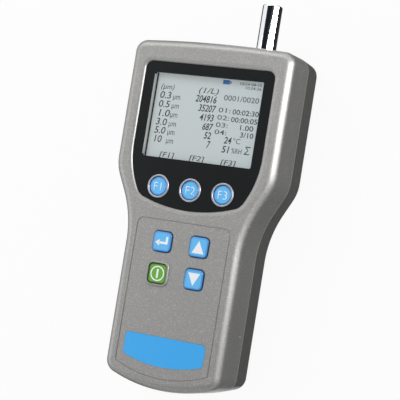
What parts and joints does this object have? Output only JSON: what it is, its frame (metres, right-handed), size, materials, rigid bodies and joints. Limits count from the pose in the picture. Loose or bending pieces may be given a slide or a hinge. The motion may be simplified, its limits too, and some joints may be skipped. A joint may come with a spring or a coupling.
{
  "type": "airborne particle counter",
  "caption": "Handheld airborne particle counter: wide display head, narrower handle with keypad, round function keys, air probe on top.",
  "frame": {"origin": "on the rear face that the counter lies on, under the middle of its whole width and length", "axes": "+Z is the front face's normal, +Y runs along the instrument to the air probe, +X is to the right of the display"},
  "size_m": [0.105, 0.2366, 0.0494],
  "materials": {
    "silver_paint": "fine metallic silver paint on moulded plastic",
    "grey_plastic": "darker metallic grey paint, satin",
    "seal_grey": "soft satin",
    "black_plastic": "satin black",
    "clear_window": "clear, polished",
    "lcd_glass": "pale blue-grey display",
    "white_plastic": "satin",
    "circuit_board": "green solder mask",
    "switch_black": "satin",
    "ring_silver": "satin silver",
    "key_blue": "soft gloss",
    "key_green": "soft gloss",
    "plate_blue": "flat printed film",
    "probe_metal": "polished",
    "black_rubber": "matte",
    "black_aluminium": "black anodised",
    "brass_part": "turned",
    "mirror_part": "polished",
    "steel_part": "zinc plated",
    "pump_black": "satin",
    "hose_rubber": "translucent silicone",
    "battery_wrap": "shrink wrap",
    "contact_metal": "nickel plated"
  },
  "bodies": {
    "casing": {"front_cover": "silver_paint", "rear_cover": "grey_plastic", "cover_gasket": "seal_grey", "display_bezel": "black_plastic", "display_window": "clear_window", "lcd_panel": "lcd_glass", "lcd_frame": "white_plastic", "display_board": "circuit_board", "tact_switches": "switch_black", "key_rings": "ring_silver", "name_plate": "plate_blue", "inlet_probe": "probe_metal", "inlet_seal": "black_rubber", "optical_block": "black_aluminium", "laser_module": "brass_part", "light_trap": "black_aluminium", "collecting_mirror": "mirror_part", "photodetector": "steel_part", "detector_board": "circuit_board", "air_pump": "pump_black", "pump_cradle": "black_rubber", "pump_clamp": "steel_part", "sample_hose": "hose_rubber", "exhaust_hose": "hose_rubber", "exhaust_filter": "white_plastic", "main_board": "circuit_board", "board_chips": "switch_black", "board_connector": "switch_black", "coin_cell": "steel_part", "buzzer": "switch_black", "usb_socket": "steel_part", "dc_jack": "switch_black", "battery_pack": "battery_wrap", "battery_contacts": "contact_metal", "cover_screws": "steel_part", "display_screws": "steel_part", "board_screws": "steel_part", "sensor_screws": "steel_part", "clamp_screws": "steel_part", "tripod_insert": "brass_part", "humidity_sensor": "circuit_board"},
    "battery_door": {"battery_door": "grey_plastic"},
    "key_f1": {"key_f1": "key_blue"},
    "key_f2": {"key_f2": "key_blue"},
    "key_f3": {"key_f3": "key_blue"},
    "key_enter": {"key_enter": "key_blue"},
    "key_up": {"key_up": "key_blue"},
    "key_power": {"key_power": "key_green"},
    "key_down": {"key_down": "key_blue"}
  },
  "joints": [
    {"name": "key_f1_press", "type": "slide", "parent": "casing", "child": "key_f1", "axis": [0, 0, -1], "range_m": [0, 0.001], "stiffness_N_per_m": 1200, "springref_m": -0.0005},
    {"name": "key_f2_press", "type": "slide", "parent": "casing", "child": "key_f2", "axis": [0, 0, -1], "range_m": [0, 0.001], "stiffness_N_per_m": 1200, "springref_m": -0.0005},
    {"name": "key_f3_press", "type": "slide", "parent": "casing", "child": "key_f3", "axis": [0, 0, -1], "range_m": [0, 0.001], "stiffness_N_per_m": 1200, "springref_m": -0.0005},
    {"name": "key_enter_press", "type": "slide", "parent": "casing", "child": "key_enter", "axis": [0, 0, -1], "range_m": [0, 0.001], "stiffness_N_per_m": 1200, "springref_m": -0.0005},
    {"name": "key_up_press", "type": "slide", "parent": "casing", "child": "key_up", "axis": [0, 0, -1], "range_m": [0, 0.001], "stiffness_N_per_m": 1200, "springref_m": -0.0005},
    {"name": "key_power_press", "type": "slide", "parent": "casing", "child": "key_power", "axis": [0, 0, -1], "range_m": [0, 0.001], "stiffness_N_per_m": 1200, "springref_m": -0.0005},
    {"name": "key_down_press", "type": "slide", "parent": "casing", "child": "key_down", "axis": [0, 0, -1], "range_m": [0, 0.001], "stiffness_N_per_m": 1200, "springref_m": -0.0005},
    {"name": "battery_door_slide", "type": "slide", "parent": "casing", "child": "battery_door", "axis": [0, -1, 0], "range_m": [0, 0.008]}
  ]
}
